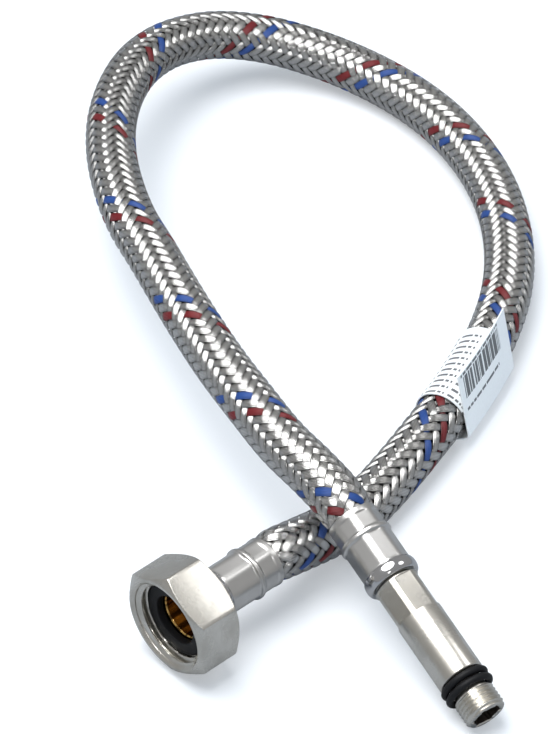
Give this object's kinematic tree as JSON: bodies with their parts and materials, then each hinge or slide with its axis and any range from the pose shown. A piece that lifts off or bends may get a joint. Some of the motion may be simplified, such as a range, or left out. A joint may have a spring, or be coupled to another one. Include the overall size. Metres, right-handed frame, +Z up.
{
  "type": "flexible tap hose",
  "caption": "Braided stainless flexible tap hose, about half a metre long, with a long M10 threaded tail at one end and a free-turning G1/2 union nut at the other, lying in a loop.",
  "frame": {"origin": "centre of the bounding box at its base, on the surface that the hose lies on", "axes": "+Z up; the union nut's mouth faces -Y along its level axis; the threaded tail points mostly along +X"},
  "size_m": [0.2216, 0.1855, 0.0343],
  "materials": {
    "braid": "bright woven wire",
    "crimp_steel": "polished",
    "nickel": "satin nickel plate on brass",
    "brass": "bare",
    "rubber": "matt",
    "paper": "coated"
  },
  "bodies": {
    "hose": {"inner_tube": "rubber", "wire_braid": "braid", "label": "paper", "ferrule_tail_end": "crimp_steel", "tail_fitting": "nickel", "o_ring_rear": "rubber", "o_ring_front": "rubber", "ferrule_nut_end": "crimp_steel", "nut_nipple": "brass", "gasket": "rubber"},
    "nut": {"union_nut": "nickel"}
  },
  "joints": [
    {"name": "nut_spin", "type": "hinge", "parent": "hose", "child": "nut", "pos_m": [0.04755, -0.0867, 0.01386], "axis": [0, -1, 0], "continuous": true}
  ]
}
